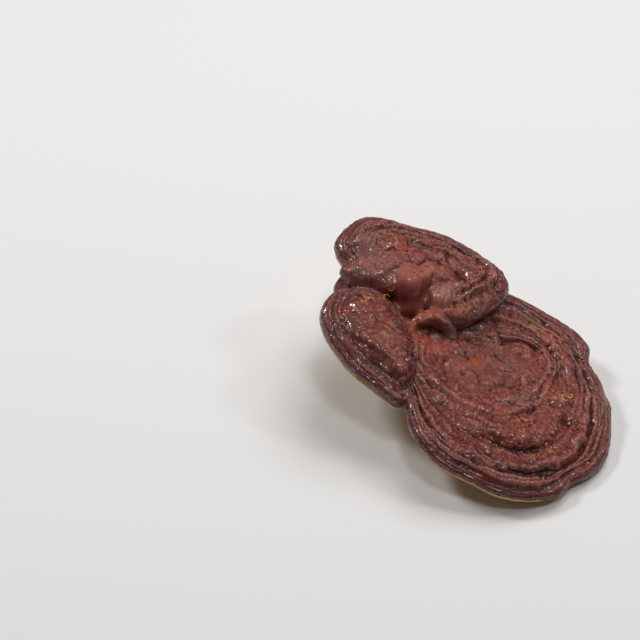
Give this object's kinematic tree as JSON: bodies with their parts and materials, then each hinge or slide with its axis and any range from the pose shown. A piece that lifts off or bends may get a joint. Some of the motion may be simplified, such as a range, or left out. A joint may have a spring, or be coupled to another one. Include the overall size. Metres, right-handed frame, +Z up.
{
  "type": "dried reishi mushroom",
  "caption": "Dried bracket mushroom with a lobed, ringed, lacquered cap leaning on a short stem that is cut off flat.",
  "frame": {"origin": "middle of the stem's flat cut, on the table", "axes": "+Z up from the cut, +X towards the low side of the cap, +Y towards the upper lobe at the back"},
  "size_m": [0.1148, 0.117, 0.0526],
  "materials": {
    "lacquered_crust": "dried woody flesh under a thin, dull to glossy red-brown crust, pale below"
  },
  "bodies": {
    "root": {"cap_and_stem": "lacquered_crust"}
  },
  "joints": []
}
